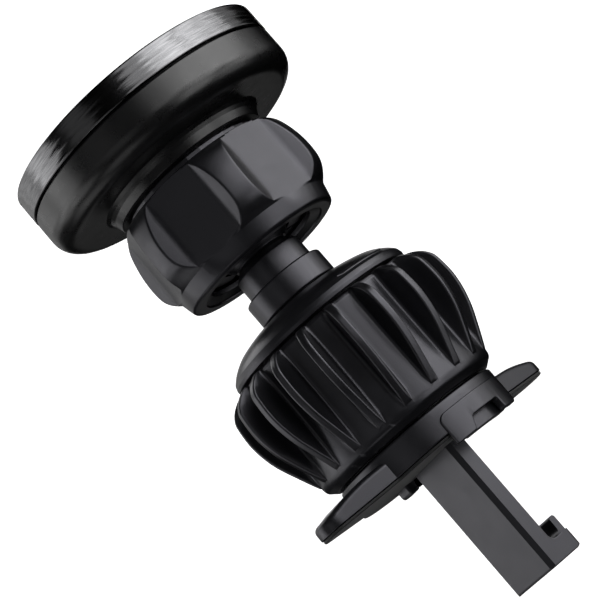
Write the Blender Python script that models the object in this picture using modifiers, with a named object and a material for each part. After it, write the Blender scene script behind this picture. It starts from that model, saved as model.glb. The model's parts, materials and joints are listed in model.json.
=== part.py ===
"""Magnetic car phone mount with a hook-type vent clamp.

The pieces are modelled about one main axis, local Z, in a frame of their own: local +X is the side of the
front jaw, local +Y is the way the hook tip points, and local Z is the distance from the rear of the base
towards the head. The empty mount_frame turns that frame to the position of use, with the phone face towards
world -Y and the hook tip down. Lengths are in metres.
"""

import math

import bmesh
import bpy
from mathutils import Matrix

MM = 0.001
GAP = 0.3 * MM  # running and assembly gap between neighbouring pieces
MERGE = 0.00001
SIDES = 32  # sides of the large turned pieces
SMALL_RING_SIDES = 24
FEW_SIDES = 20  # sides of the small turned pieces

# Base
BASE_R = 12.6 * MM
BASE_BOTTOM = 0.3 * MM
BASE_TOP = 3.87 * MM
WING_TOP = 2.9 * MM
WING_SLOPE = ((12.7, 2.95), (15.5, 2.7), (19.5, 1.8), (23.0, 1.6))
WING_ROOT_Y = 11.2 * MM
WING_ROOT_HALF = 5.6 * MM
WING_TIP_Y = 21.7 * MM
WING_TIP_R = 2.7 * MM
GRIP_R = 12.3 * MM
GRIP_INSET = 0.2 * MM
GRIP_S = (-0.4 * MM, 0.0)
HUB_R = 7.9 * MM
HUB_TOP = 9.3 * MM
CLIP_GROOVE_R = 7.1 * MM
CLIP_S = (7.6 * MM, 8.4 * MM)
CLIP_R = (7.4 * MM, 9.3 * MM)
CLIP_OPENING = 4.0 * MM
WASHER_R = (8.5 * MM, 11.1 * MM)
WASHER_THICK = 0.7 * MM

# Jaws that bear on the vent blade
JAW_R = (11.9 * MM, 12.95 * MM)
JAW_BACK_R = (9.9 * MM, 11.5 * MM)
JAW_ANGLES = (-22.0, 36.5)
JAW_NOTCH_ANGLES = (-3.0, 20.0)
JAW_BACK_ANGLES = (-12.0, 30.0)
JAW_BACK_TOP = 1.0 * MM
JAW_BOTTOM = -1.75 * MM
JAW_TOP = 2.5 * MM
JAW_NOTCH_TOP = 0.15 * MM
REAR_JAW_X = (-9.2 * MM, -6.7 * MM)
REAR_JAW_Y = (-1.9 * MM, 5.5 * MM)
REAR_NOTCH_Y = (0.0, 3.6 * MM)
REAR_JAW_TOP = 1.6 * MM

# Hook
ARM_HALF_WIDTH = 4.95 * MM
ARM_Y = (-1.3 * MM, 1.55 * MM)
ARM_S = (-20.9 * MM, 4.9 * MM)
FOOT_TOP = -18.05 * MM
FOOT_Y = 5.0 * MM
LIP_INNER_Y = 4.0 * MM
LIP_TOP = -15.6 * MM
LIP_HALF_WIDTH = 4.2 * MM
SHANK_R = 2.9 * MM
SHANK_S = (0.6 * MM, 20.6 * MM)
SHANK_FLAT = 1.2 * MM
PIN_R = 0.45 * MM
PIN_S = 2.6 * MM
PIN_HALF = 4.1 * MM

# Knob
FINS = 20
FIN_AZIMUTH = 5.5
FIN_THICK = 1.25 * MM
FIN_ROOT_R = 13.0 * MM
FIN_CREST = (
    (14.3, 6.4), (15.5, 9.0), (16.85, 12.3), (17.5, 15.7), (17.36, 18.9), (16.1, 21.06), (14.3, 21.9),
)
KNOB_CORE = ((13.6, 22.0), (14.0, 21.4), (14.0, 8.0), (14.0, 6.4), (13.75, 5.07), (12.65, 4.2))
KNOB_TOP = 22.0 * MM
HOOK_BORE_R = 5.8 * MM
HOOK_BORE_TOP = 13.4 * MM
INSERT_R = 5.0 * MM
INSERT_FLANGE_R = 7.0 * MM
INSERT_S = (13.7 * MM, 20.2 * MM)
INSERT_FLANGE_S = 18.9 * MM
INSERT_BORE_R = 3.3 * MM
CLIP_CAVITY_R = 9.9 * MM
CLIP_CAVITY_S = (7.3 * MM, 9.8 * MM)
STEM_FLANGE_R = 11.8 * MM
STEM_FLANGE_S = (20.8 * MM, 22.4 * MM)
STEM_SCREW_AT = 9.6 * MM
STEM_SCREW_AZIMUTH = 11.0
STEM_SCREW_S = (15.6 * MM, 22.7 * MM, 23.7 * MM)
SCREW_R = 0.9 * MM
SCREW_HEAD_R = 1.6 * MM
SCREW_HOLE_R = 1.2 * MM

# Cap, collar and ball stem
CAP_OUTER = ((6.1, 26.6), (8.7, 26.2), (11.1, 25.5), (12.55, 24.6), (14.0, 23.3), (14.16, 22.4), (14.0, 22.3))
CAP_INNER = ((12.1, 22.3), (12.1, 23.2), (11.7, 24.1), (8.5, 24.9), (5.4, 25.2))
CAP_BORE_R = 5.4 * MM
COLLAR_R = (5.4 * MM, 6.1 * MM)
COLLAR_S = (26.9 * MM, 30.5 * MM)
NECK_R = 5.06 * MM
NECK_TOP = 34.4 * MM
THROAT_R = 3.8 * MM
STEM_BORE_R = 3.4 * MM
STEM_BORE_TOP = 29.4 * MM
BALL_S = 39.9 * MM
BALL_R = 6.5 * MM

# Ball socket
LINER_R = (6.95 * MM, 8.0 * MM)
SEAT_HALF_ANGLE = 50.0
RING_ANGLES = (70.0, 104.0)
POCKET_R = 8.4 * MM
POCKET_END_ANGLE = 108.0
GRIP_END_ANGLE = 125.0
COLLET_R = 9.6 * MM
COLLET_CHAMFER_S = 37.7 * MM
COLLET_FLANGE_R = 14.0 * MM
COLLET_FLANGE_S = (53.3 * MM, 54.8 * MM)
SLIT_WIDTH = 0.9 * MM
SLIT_TOP = 45.5 * MM
COLLET_SCREW_AT = 11.8 * MM
COLLET_SCREW_AZIMUTH = 46.0
COLLET_SCREW_S = (52.1 * MM, 55.1 * MM, 56.1 * MM)

# Locking nut
NUT_OUTER = (
    (11.3, 48.0), (12.2, 47.95), (12.85, 47.6), (13.4, 46.8), (13.85, 45.6), (14.45, 43.2), (14.5, 40.6),
    (14.1, 38.7), (13.3, 37.5), (12.65, 36.85), (12.3, 35.9), (11.9, 34.7), (11.35, 34.2), (10.0, 34.2),
)
NUT_INNER = ((8.4, 35.1), (8.4, 35.6), (10.0, 37.2), (10.0, 47.4), (11.0, 47.4), (11.0, 48.0))
NUT_FLATS = 6
NUT_FLAT_R = 12.15 * MM
NUT_FLAT_HALF = 3.85 * MM
NUT_FLAT_S = (37.1 * MM, 48.3 * MM)
NUT_FLAT_AZIMUTH = 6.0
NUT_WASHER_R = (9.95 * MM, 10.7 * MM)
NUT_WASHER_S = (47.7 * MM, 48.9 * MM)

# Head
HEAD_R = 20.0 * MM
CORNER_R = 4.2 * MM
HEAD_BACK = 51.25 * MM
SHELL_STEP = 57.1 * MM
SHELL_TOP = 60.0 * MM
SHELL_NECK_R = 18.55 * MM
SHELL_INNER = ((9.9, 49.2), (9.9, 53.0), (16.8, 53.0), (16.8, 56.9), (18.2, 56.9))
BOSS = ((12.9, 51.25), (12.45, 50.7), (11.8, 49.2))
FACE_RING_R = (18.85 * MM, 20.05 * MM)
FACE_RING_S = (57.4 * MM, 61.2 * MM)
DISC_R = 17.9 * MM
YOKE_S = (57.2 * MM, 58.2 * MM)
HOLDER_S = (58.5 * MM, 60.0 * MM)
MAGNETS = 6
MAGNET_R = 3.4 * MM
MAGNET_AT = 11.0 * MM
FACE_PAD_R = 18.55 * MM
FACE_PAD_S = (60.3 * MM, 61.5 * MM)

FRAME_ROTATION = (-math.pi / 2, 0, math.pi)


def clear_scene():
    for item in list(bpy.data.objects):
        bpy.data.objects.remove(item, do_unlink=True)


def new_collection(name):
    collection = bpy.data.collections.new(name)
    bpy.context.scene.collection.children.link(collection)
    return collection


def make_material(name, colour, roughness, metallic=0.0):
    material = bpy.data.materials.new(name)
    material.use_nodes = True
    shader = material.node_tree.nodes["Principled BSDF"]
    shader.inputs["Base Color"].default_value = (*colour, 1)
    shader.inputs["Roughness"].default_value = roughness
    shader.inputs["Metallic"].default_value = metallic
    material.diffuse_color = (*colour, 1)
    return material


def add_empty(name, parent=None, location=(0, 0, 0), rotation=(0, 0, 0)):
    empty = bpy.data.objects.new(name, None)
    empty.parent = parent
    empty.location = location
    empty.rotation_euler = rotation
    PARTS.objects.link(empty)
    return empty


def add_piece(name, mesh, parent, material):
    """A named sub-part. A piece under the ball empty is lowered by the ball's height, so that every
    profile is written as a distance from the base."""
    piece = bpy.data.objects.new(name, mesh)
    piece.parent = parent
    piece.location = (0, 0, -parent.location.z)
    mesh.materials.append(material)
    PARTS.objects.link(piece)
    return piece


def cut(piece, mesh, operation="DIFFERENCE"):
    """Cuts the mesh from the piece, or joins it on, with a Boolean."""
    cutter = bpy.data.objects.new(f"{piece.name}_{mesh.name}", mesh)
    cutter.parent = piece.parent
    cutter.location = piece.location
    cutter.hide_render = True
    cutter.display_type = "WIRE"
    CUTTERS.objects.link(cutter)
    boolean = piece.modifiers.new(mesh.name, "BOOLEAN")
    boolean.operation = operation
    boolean.object = cutter


def in_metres(profile):
    return [(r * MM, s * MM) for r, s in profile]


def arc(centre, radius, start, end, steps):
    """Points on an arc in the plane of a profile, with the angles in degrees from the outward direction."""
    turns = [math.radians(start + (end - start) * i / steps) for i in range(steps + 1)]
    return [(centre[0] + radius * math.cos(t), centre[1] + radius * math.sin(t)) for t in turns]


def turned_mesh(name, profile, sides=SIDES, ring=False):
    """A profile of (radius, height) points turned round Z. It runs down the outer side, top to bottom."""
    shape = bmesh.new()
    points = [shape.verts.new((r, 0, s)) for r, s in profile]
    for first, second in zip(points, points[1:]):
        shape.edges.new((first, second))
    if ring:
        shape.edges.new((points[-1], points[0]))
    mesh = bpy.data.meshes.new(name)
    shape.to_mesh(mesh)
    shape.free()
    turner = bpy.data.objects.new(name, mesh)
    bpy.context.scene.collection.objects.link(turner)
    screw = turner.modifiers.new("turn", "SCREW")
    screw.steps = sides
    screw.render_steps = sides
    screw.use_merge_vertices = True
    screw.merge_threshold = MERGE
    return settled_mesh(turner)


def settled_mesh(item):
    """The evaluated mesh of a helper, with its seams welded. The helper is removed."""
    graph = bpy.context.evaluated_depsgraph_get()
    name = item.name
    mesh = bpy.data.meshes.new_from_object(item.evaluated_get(graph))
    shape = bmesh.new()
    shape.from_mesh(mesh)
    bmesh.ops.remove_doubles(shape, verts=shape.verts, dist=MERGE)
    bmesh.ops.recalc_face_normals(shape, faces=shape.faces)
    shape.to_mesh(mesh)
    shape.free()
    bpy.data.objects.remove(item, do_unlink=True)
    mesh.name = name
    mesh.shade_smooth()
    mesh.set_sharp_from_angle(angle=math.radians(30))
    return mesh


def tube_mesh(name, radii, span, sides=SIDES, edge=0.0):
    """A plain ring between two radii, with its outer corners cut back by edge."""
    inner, outer = radii
    low, high = span
    profile = [(outer - edge, high), (outer, high - edge), (outer, low + edge), (outer - edge, low)]
    if not edge:
        profile = [(outer, high), (outer, low)]
    return turned_mesh(name, [*profile, (inner, low), (inner, high)], sides, ring=True)


def rod_mesh(name, radius, span, sides=FEW_SIDES, place=(0, 0)):
    mesh = turned_mesh(name, [(0, span[1]), (radius, span[1]), (radius, span[0]), (0, span[0])], sides)
    mesh.transform(Matrix.Translation((*place, 0)))
    return mesh


def outline_mesh(name, points, thickness):
    """A flat outline in XY with its thickness centred on Z."""
    curve = bpy.data.curves.new(name, "CURVE")
    curve.dimensions = "2D"
    curve.fill_mode = "BOTH"
    curve.extrude = thickness / 2
    spline = curve.splines.new("POLY")
    spline.points.add(len(points) - 1)
    for place, (x, y) in zip(spline.points, points):
        place.co = (x, y, 0, 1)
    spline.use_cyclic_u = True
    item = bpy.data.objects.new(name, curve)
    bpy.context.scene.collection.objects.link(item)
    return settled_mesh(item)


def box_mesh(name, low, high):
    mesh = bpy.data.meshes.new(name)
    shape = bmesh.new()
    bmesh.ops.create_cube(shape, size=1)
    size = [b - a for a, b in zip(low, high)]
    middle = [(a + b) / 2 for a, b in zip(low, high)]
    shape.transform(Matrix.Translation(middle) @ Matrix.Diagonal((*size, 1)))
    shape.to_mesh(mesh)
    shape.free()
    return mesh


def plate_mesh(name, points, span):
    """An outline in XY that fills a span of heights."""
    mesh = outline_mesh(name, points, span[1] - span[0])
    mesh.transform(Matrix.Translation((0, 0, (span[0] + span[1]) / 2)))
    return mesh


def sector_points(radii, angles, margin=0.0, steps=6):
    """The outline of part of a ring, with the angles in degrees from local X."""
    inner, outer = radii[0] - margin, radii[1] + margin
    spread = math.degrees(margin / radii[1])
    start, end = angles[0] - spread, angles[1] + spread
    return arc((0, 0), outer, start, end, steps) + arc((0, 0), inner, end, start, steps)


def around(count, radius, start=0.0):
    turns = [math.radians(start + 360 * i / count) for i in range(count)]
    return [(radius * math.cos(t), radius * math.sin(t)) for t in turns]


def wing_points(inset=0.0):
    """Both wings in one outline: straight flanks that run to a rounded tip."""
    middle = WING_TIP_Y - WING_TIP_R
    tip = arc((0, middle), WING_TIP_R - inset, 15, 165, 6)
    half = WING_ROOT_HALF - inset
    upper = [(half, WING_ROOT_Y), *tip, (-half, WING_ROOT_Y)]
    return upper + [(-x, -y) for x, y in upper]


def across_mesh(name, points, width):
    """An outline of (local Y, local Z) points that fills a width centred on the main axis."""
    mesh = outline_mesh(name, points, width)
    mesh.transform(Matrix(((0, 0, 1, 0), (1, 0, 0, 0), (0, 1, 0, 0), (0, 0, 0, 1))))
    return mesh


def cut_wing_slopes(base):
    """Thins both wings towards their tips, along a line of (distance from the axis, height)."""
    line = in_metres(WING_SLOPE)
    above = WING_TOP + MM
    for number, side in ((1, 1), (2, -1)):
        points = [(side * y, s) for y, s in [(line[0][0], above), *line, (line[-1][0], above)]]
        cut(base, across_mesh(f"wing_slope_{number}", points, 2 * BASE_R))


def build_base(parent):
    profile = [
        (0, HUB_TOP), (HUB_R, HUB_TOP), (HUB_R, CLIP_S[1] + GAP), (CLIP_GROOVE_R, CLIP_S[1] + GAP),
        (CLIP_GROOVE_R, CLIP_S[0] - GAP), (HUB_R, CLIP_S[0] - GAP), (HUB_R, BASE_TOP),
        (BASE_R - GAP, BASE_TOP), (BASE_R, BASE_TOP - GAP), (BASE_R, BASE_BOTTOM), (0, BASE_BOTTOM),
    ]
    base = add_piece("base_plate", turned_mesh("base_plate", profile), parent, PLASTIC)
    cut(base, plate_mesh("wings", wing_points(), (BASE_BOTTOM, WING_TOP)), "UNION")
    cut_wing_slopes(base)
    back = plate_mesh("jaw_back", sector_points(JAW_BACK_R, JAW_BACK_ANGLES), (JAW_BOTTOM, JAW_BACK_TOP))
    cut(base, back, "UNION")
    room = sector_points((JAW_R[0], BASE_R + MM), JAW_ANGLES, GAP)
    cut(base, plate_mesh("jaw_room", room, (-MM, JAW_TOP + GAP)))
    rear_low = (REAR_JAW_X[0] - GAP, REAR_JAW_Y[0] - GAP, -MM)
    rear_high = (REAR_JAW_X[1] + GAP, REAR_JAW_Y[1] + GAP, REAR_JAW_TOP + GAP)
    cut(base, box_mesh("rear_jaw_room", rear_low, rear_high))
    slot_low = (-ARM_HALF_WIDTH - GAP, ARM_Y[0] - GAP, -MM)
    slot_high = (ARM_HALF_WIDTH + GAP, ARM_Y[1] + GAP, HUB_TOP + MM)
    cut(base, box_mesh("hook_slot", slot_low, slot_high))
    cut(base, rod_mesh("shank_bore", SHANK_R + GAP, (ARM_S[1] - GAP, HUB_TOP + MM), 16))
    build_grip(parent, [
        plate_mesh("grip_jaw_room", sector_points((JAW_BACK_R[0], BASE_R), JAW_ANGLES, GAP), (-MM, MM)),
        box_mesh("grip_rear_room", rear_low, rear_high),
        box_mesh("grip_hook_slot", slot_low, slot_high),
    ])

    jaw = plate_mesh("front_jaw", sector_points(JAW_R, JAW_ANGLES, steps=8), (JAW_BOTTOM, JAW_TOP))
    front = add_piece("front_jaw", jaw, parent, PLASTIC)
    notch = sector_points((JAW_R[0] - MM, JAW_R[1] + MM), JAW_NOTCH_ANGLES)
    cut(front, plate_mesh("notch", notch, (JAW_BOTTOM - MM, JAW_NOTCH_TOP)))
    low = (REAR_JAW_X[0], REAR_JAW_Y[0], JAW_BOTTOM)
    high = (REAR_JAW_X[1], REAR_JAW_Y[1], REAR_JAW_TOP)
    rear = add_piece("rear_jaw", box_mesh("rear_jaw", low, high), parent, PLASTIC)
    notch_low = (REAR_JAW_X[0] - MM, REAR_NOTCH_Y[0], JAW_BOTTOM - MM)
    notch_high = (REAR_JAW_X[1] + MM, REAR_NOTCH_Y[1], JAW_NOTCH_TOP)
    cut(rear, box_mesh("notch", notch_low, notch_high))

    washer_low = BASE_TOP + GAP
    washer = tube_mesh("thrust_washer", WASHER_R, (washer_low, washer_low + WASHER_THICK), SMALL_RING_SIDES)
    add_piece("thrust_washer", washer, parent, PLASTIC)
    clip_ring = tube_mesh("retaining_clip", CLIP_R, CLIP_S, SMALL_RING_SIDES)
    clip = add_piece("retaining_clip", clip_ring, parent, STEEL)
    cut(clip, box_mesh("opening", (-CLIP_R[1], -CLIP_OPENING / 2, 0), (0, CLIP_OPENING / 2, HUB_TOP)))


def build_grip(parent, rooms):
    """The soft plate under the base and both wings, with room for the jaws and the hook."""
    disc = rod_mesh("grip_plate", GRIP_R, GRIP_S, SIDES)
    grip = add_piece("grip_plate", disc, parent, RUBBER)
    cut(grip, plate_mesh("grip_wings", wing_points(GRIP_INSET), GRIP_S), "UNION")
    for room in rooms:
        cut(grip, room)


def build_hook(parent):
    outline = [
        (ARM_Y[0], ARM_S[0]), (FOOT_Y, ARM_S[0]), (FOOT_Y, LIP_TOP), (LIP_INNER_Y, LIP_TOP),
        (LIP_INNER_Y, FOOT_TOP), (ARM_Y[1], FOOT_TOP), (ARM_Y[1], ARM_S[1]), (ARM_Y[0], ARM_S[1]),
    ]
    arm = add_piece("hook_arm", across_mesh("hook_arm", outline, 2 * ARM_HALF_WIDTH), parent, PLASTIC)
    beyond = ARM_HALF_WIDTH + MM
    for number, (low_x, high_x) in enumerate(((LIP_HALF_WIDTH, beyond), (-beyond, -LIP_HALF_WIDTH)), 1):
        low, high = (low_x, ARM_Y[1] + MM, FOOT_TOP), (high_x, FOOT_Y + MM, LIP_TOP + MM)
        cut(arm, box_mesh(f"lip_end_{number}", low, high))
    tang_low = (-SHANK_R - GAP, ARM_Y[0] - MM, SHANK_S[0] - GAP)
    tang_high = (SHANK_R + GAP, ARM_Y[1] + MM, ARM_S[1] + MM)
    cut(arm, box_mesh("tang_room", tang_low, tang_high))
    hole = rod_mesh("pin_hole", PIN_R + GAP, (-PIN_HALF - GAP, PIN_HALF + GAP), 12)
    hole.transform(Matrix.Translation((0, 0, PIN_S)) @ Matrix.Rotation(math.pi / 2, 4, "Y"))
    cut(arm, hole)

    # The shank's lower end is flattened into a tang as thick as the arm.
    shank = add_piece("hook_screw", rod_mesh("hook_screw", SHANK_R, SHANK_S, 16), parent, STEEL)
    reach = SHANK_R + MM
    for name, low_y, high_y in (("front_flat", SHANK_FLAT, reach), ("back_flat", -reach, -SHANK_FLAT)):
        cut(shank, box_mesh(name, (-reach, low_y, 0), (reach, high_y, ARM_S[1] + GAP)))
    cut(shank, hole.copy())
    pin = rod_mesh("hook_pin", PIN_R, (-PIN_HALF, PIN_HALF), 12)
    pin.transform(Matrix.Translation((0, 0, PIN_S)) @ Matrix.Rotation(math.pi / 2, 4, "Y"))
    add_piece("hook_pin", pin, parent, STEEL)


def fin_ring_mesh():
    """All the fins in one mesh: upright plates whose crests follow the knob's swollen outline."""
    crest = in_metres(FIN_CREST)
    outline = [(FIN_ROOT_R, crest[0][1]), *crest, (FIN_ROOT_R, crest[-1][1])]
    fin = outline_mesh("fin", outline, FIN_THICK)
    upright = Matrix.Rotation(math.pi / 2, 4, "X")
    ring = bmesh.new()
    for i in range(FINS):
        copy = fin.copy()
        turn = math.radians(FIN_AZIMUTH + 360 * i / FINS)
        copy.transform(Matrix.Rotation(turn, 4, "Z") @ upright)
        ring.from_mesh(copy)
        bpy.data.meshes.remove(copy)
    mesh = bpy.data.meshes.new("fins")
    ring.to_mesh(mesh)
    ring.free()
    return mesh


def build_knob(parent):
    recess_top = BASE_TOP + WASHER_THICK + 2 * GAP
    profile = [
        *in_metres(KNOB_CORE), (WASHER_R[1] + GAP, BASE_TOP + GAP), (WASHER_R[1] + GAP, recess_top),
        (HUB_R + GAP, recess_top), (HUB_R + GAP, CLIP_CAVITY_S[0]), (CLIP_CAVITY_R, CLIP_CAVITY_S[0]),
        (CLIP_CAVITY_R, CLIP_CAVITY_S[1]), (HOOK_BORE_R, CLIP_CAVITY_S[1]), (HOOK_BORE_R, HOOK_BORE_TOP),
        (INSERT_R + GAP, HOOK_BORE_TOP), (INSERT_R + GAP, INSERT_FLANGE_S - GAP),
        (INSERT_FLANGE_R + GAP, INSERT_FLANGE_S - GAP), (INSERT_FLANGE_R + GAP, STEM_FLANGE_S[0] - GAP),
        (STEM_FLANGE_R + GAP, STEM_FLANGE_S[0] - GAP), (STEM_FLANGE_R + GAP, KNOB_TOP),
    ]
    knob = add_piece("clamp_knob", turned_mesh("clamp_knob", profile, ring=True), parent, PLASTIC)
    cut(knob, fin_ring_mesh(), "UNION")

    insert_profile = [
        (INSERT_FLANGE_R, INSERT_S[1]), (INSERT_FLANGE_R, INSERT_FLANGE_S), (INSERT_R, INSERT_FLANGE_S),
        (INSERT_R, INSERT_S[0]), (INSERT_BORE_R, INSERT_S[0]), (INSERT_BORE_R, INSERT_S[1]),
    ]
    insert = turned_mesh("threaded_insert", insert_profile, FEW_SIDES, ring=True)
    add_piece("threaded_insert", insert, parent, BRASS)

    cap_profile = in_metres(CAP_OUTER) + in_metres(CAP_INNER) + [(CAP_BORE_R, CAP_OUTER[0][1] * MM)]
    add_piece("knob_cap", turned_mesh("knob_cap", cap_profile, ring=True), parent, PLASTIC)
    collar = tube_mesh("stem_collar", COLLAR_R, COLLAR_S, FEW_SIDES, 0.3 * MM)
    add_piece("stem_collar", collar, parent, PLASTIC)
    build_stem(knob, parent)


def build_stem(knob, parent):
    throat_angle = -90 + math.degrees(math.asin(THROAT_R / BALL_R))
    profile = [
        *arc((0, BALL_S), BALL_R, 90, throat_angle, 9), (THROAT_R, NECK_TOP + 0.4 * MM),
        (NECK_R, NECK_TOP - MM), (NECK_R, STEM_FLANGE_S[1]), (STEM_FLANGE_R, STEM_FLANGE_S[1]),
        (STEM_FLANGE_R, STEM_FLANGE_S[0]), (STEM_BORE_R, STEM_FLANGE_S[0]), (STEM_BORE_R, STEM_BORE_TOP),
        (0, STEM_BORE_TOP),
    ]
    profile[0] = (0, BALL_S + BALL_R)
    stem = add_piece("ball_stem", turned_mesh("ball_stem", profile, SMALL_RING_SIDES), parent, PLASTIC)
    low, head_low, head_high = STEM_SCREW_S
    for number, place in enumerate(around(3, STEM_SCREW_AT, STEM_SCREW_AZIMUTH), 1):
        hole_span = (low - GAP, KNOB_TOP + MM)
        cut(knob, rod_mesh(f"screw_hole_{number}", SCREW_HOLE_R, hole_span, 10, place))
        cut(stem, rod_mesh(f"screw_hole_{number}", SCREW_HOLE_R, hole_span, 10, place))
        profile = [
            (0, head_high), (SCREW_HEAD_R, head_high), (SCREW_HEAD_R, head_low), (SCREW_R, head_low),
            (SCREW_R, low), (0, low),
        ]
        screw = turned_mesh(f"stem_screw_{number}", profile, 10)
        screw.transform(Matrix.Translation((*place, 0)))
        add_piece(f"stem_screw_{number}", screw, parent, STEEL)


def ball_shell(name, angles, radii, sides=SMALL_RING_SIDES):
    """Part of a hollow ball about the ball's centre, between two angles from the front of the axis."""
    steps = 5
    start, end = 90 - angles[0], 90 - angles[1]
    outer = arc((0, BALL_S), radii[1], start, end, steps)
    inner = arc((0, BALL_S), radii[0], end, start, steps)
    if angles[0] == 0:
        outer[0] = (0, BALL_S + radii[1])
        inner[-1] = (0, BALL_S + radii[0])
        return turned_mesh(name, outer + inner, sides)
    return turned_mesh(name, outer + inner, sides, ring=True)


def build_socket(parent):
    add_piece("ball_seat", ball_shell("ball_seat", (0, SEAT_HALF_ANGLE), LINER_R), parent, NYLON)
    add_piece("friction_ring", ball_shell("friction_ring", RING_ANGLES, LINER_R), parent, NYLON)

    pocket = arc((0, BALL_S), POCKET_R, 90 - POCKET_END_ANGLE, 90, 7)
    pocket[-1] = (0, BALL_S + POCKET_R)
    grip = arc((0, BALL_S), LINER_R[0], 90 - GRIP_END_ANGLE, 90 - POCKET_END_ANGLE, 2)
    low, high = COLLET_FLANGE_S
    profile = [
        (0, high), (COLLET_FLANGE_R, high), (COLLET_FLANGE_R, low), (COLLET_R, low),
        (COLLET_R, COLLET_CHAMFER_S), (COLLET_R - 1.5 * MM, grip[0][1]), *grip, *pocket,
    ]
    collet = add_piece("socket_collet", turned_mesh("socket_collet", profile), parent, PLASTIC)
    reach = COLLET_R + MM
    for name, x, y in (("slit_x", reach, SLIT_WIDTH / 2), ("slit_y", SLIT_WIDTH / 2, reach)):
        cut(collet, box_mesh(name, (-x, -y, grip[0][1] - MM), (x, y, SLIT_TOP)))
    return collet


def build_nut(parent):
    add_piece("nut_washer", tube_mesh("nut_washer", NUT_WASHER_R, NUT_WASHER_S), parent, PLASTIC)
    profile = in_metres(NUT_OUTER) + in_metres(NUT_INNER)
    nut = add_piece("locking_nut", turned_mesh("locking_nut", profile, ring=True), parent, PLASTIC)
    low, high = NUT_FLAT_S
    for number in range(NUT_FLATS):
        channel = box_mesh(
            f"flat_{number + 1}", (NUT_FLAT_R, -NUT_FLAT_HALF, low), (HEAD_R, NUT_FLAT_HALF, high)
        )
        azimuth = math.radians(NUT_FLAT_AZIMUTH) + 2 * math.pi * number / NUT_FLATS
        channel.transform(Matrix.Rotation(azimuth, 4, "Z"))
        cut(nut, channel)


def build_head(parent, collet):
    corner = arc((HEAD_R - CORNER_R, HEAD_BACK + CORNER_R), CORNER_R, 0, -90, 4)
    profile = [
        (SHELL_NECK_R, SHELL_TOP), (SHELL_NECK_R, SHELL_STEP), (HEAD_R, SHELL_STEP), *corner,
        *in_metres(BOSS), *in_metres(SHELL_INNER), (SHELL_INNER[-1][0] * MM, SHELL_TOP),
    ]
    shell = add_piece("head_shell", turned_mesh("head_shell", profile, ring=True), parent, PLASTIC)
    low, head_low, head_high = COLLET_SCREW_S
    for number, place in enumerate(around(3, COLLET_SCREW_AT, COLLET_SCREW_AZIMUTH), 1):
        hole_span = (low - GAP, head_low + MM)
        cut(shell, rod_mesh(f"screw_hole_{number}", SCREW_HOLE_R, hole_span, 10, place))
        cut(collet, rod_mesh(f"screw_hole_{number}", SCREW_HOLE_R, hole_span, 10, place))
        screw_profile = [
            (0, head_high), (SCREW_HEAD_R, head_high), (SCREW_HEAD_R, head_low), (SCREW_R, head_low),
            (SCREW_R, low), (0, low),
        ]
        screw = turned_mesh(f"collet_screw_{number}", screw_profile, 10)
        screw.transform(Matrix.Translation((*place, 0)))
        add_piece(f"collet_screw_{number}", screw, parent, STEEL)

    ring = tube_mesh("face_ring", FACE_RING_R, FACE_RING_S, SIDES, 0.3 * MM)
    add_piece("face_ring", ring, parent, BRUSHED_STEEL)
    add_piece("steel_yoke", rod_mesh("steel_yoke", DISC_R, YOKE_S, SIDES), parent, STEEL)
    holder = add_piece("magnet_holder", rod_mesh("magnet_holder", DISC_R, HOLDER_S, SIDES), parent, NYLON)
    hole_span = (HOLDER_S[0] - MM, HOLDER_S[1] + MM)
    for number, place in enumerate(around(MAGNETS, MAGNET_AT), 1):
        cut(holder, rod_mesh(f"magnet_hole_{number}", MAGNET_R + GAP, hole_span, 16, place))
        magnet = rod_mesh(f"magnet_{number}", MAGNET_R, HOLDER_S, 16, place)
        add_piece(f"magnet_{number}", magnet, parent, MAGNET)
    add_piece("face_pad", rod_mesh("face_pad", FACE_PAD_R, FACE_PAD_S, SIDES), parent, RUBBER)


clear_scene()
PARTS = new_collection("car_phone_mount")
CUTTERS = new_collection("cutters")
PLASTIC = make_material("black_plastic", (0.022, 0.022, 0.024), 0.42)
BRUSHED_STEEL = make_material("black_brushed_steel", (0.06, 0.06, 0.065), 0.28, 1.0)
RUBBER = make_material("black_rubber", (0.014, 0.014, 0.015), 0.75)
NYLON = make_material("white_nylon", (0.75, 0.74, 0.70), 0.5)
STEEL = make_material("zinc_steel", (0.62, 0.62, 0.63), 0.35, 1.0)
BRASS = make_material("brass", (0.78, 0.60, 0.30), 0.3, 1.0)
MAGNET = make_material("nickel_magnet", (0.66, 0.65, 0.62), 0.22, 1.0)

mount_frame = add_empty("mount_frame", rotation=FRAME_ROTATION)
ball_centre = add_empty("ball_centre", mount_frame, (0, 0, BALL_S))
build_base(mount_frame)
build_hook(mount_frame)
build_knob(mount_frame)
socket_collet = build_socket(ball_centre)
build_nut(ball_centre)
build_head(ball_centre, socket_collet)
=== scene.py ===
"""Looks of the magnetic car phone mount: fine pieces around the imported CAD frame, their materials and a plain studio.

Shapes are written in millimetres in the part's own frame: x towards the front jaw, y the way the hook tip
points, and s along the main axis, from the rear of the base towards the head.
"""

import json
import math

import bmesh
import bpy
import numpy as np
from mathutils import Matrix, Vector


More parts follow.
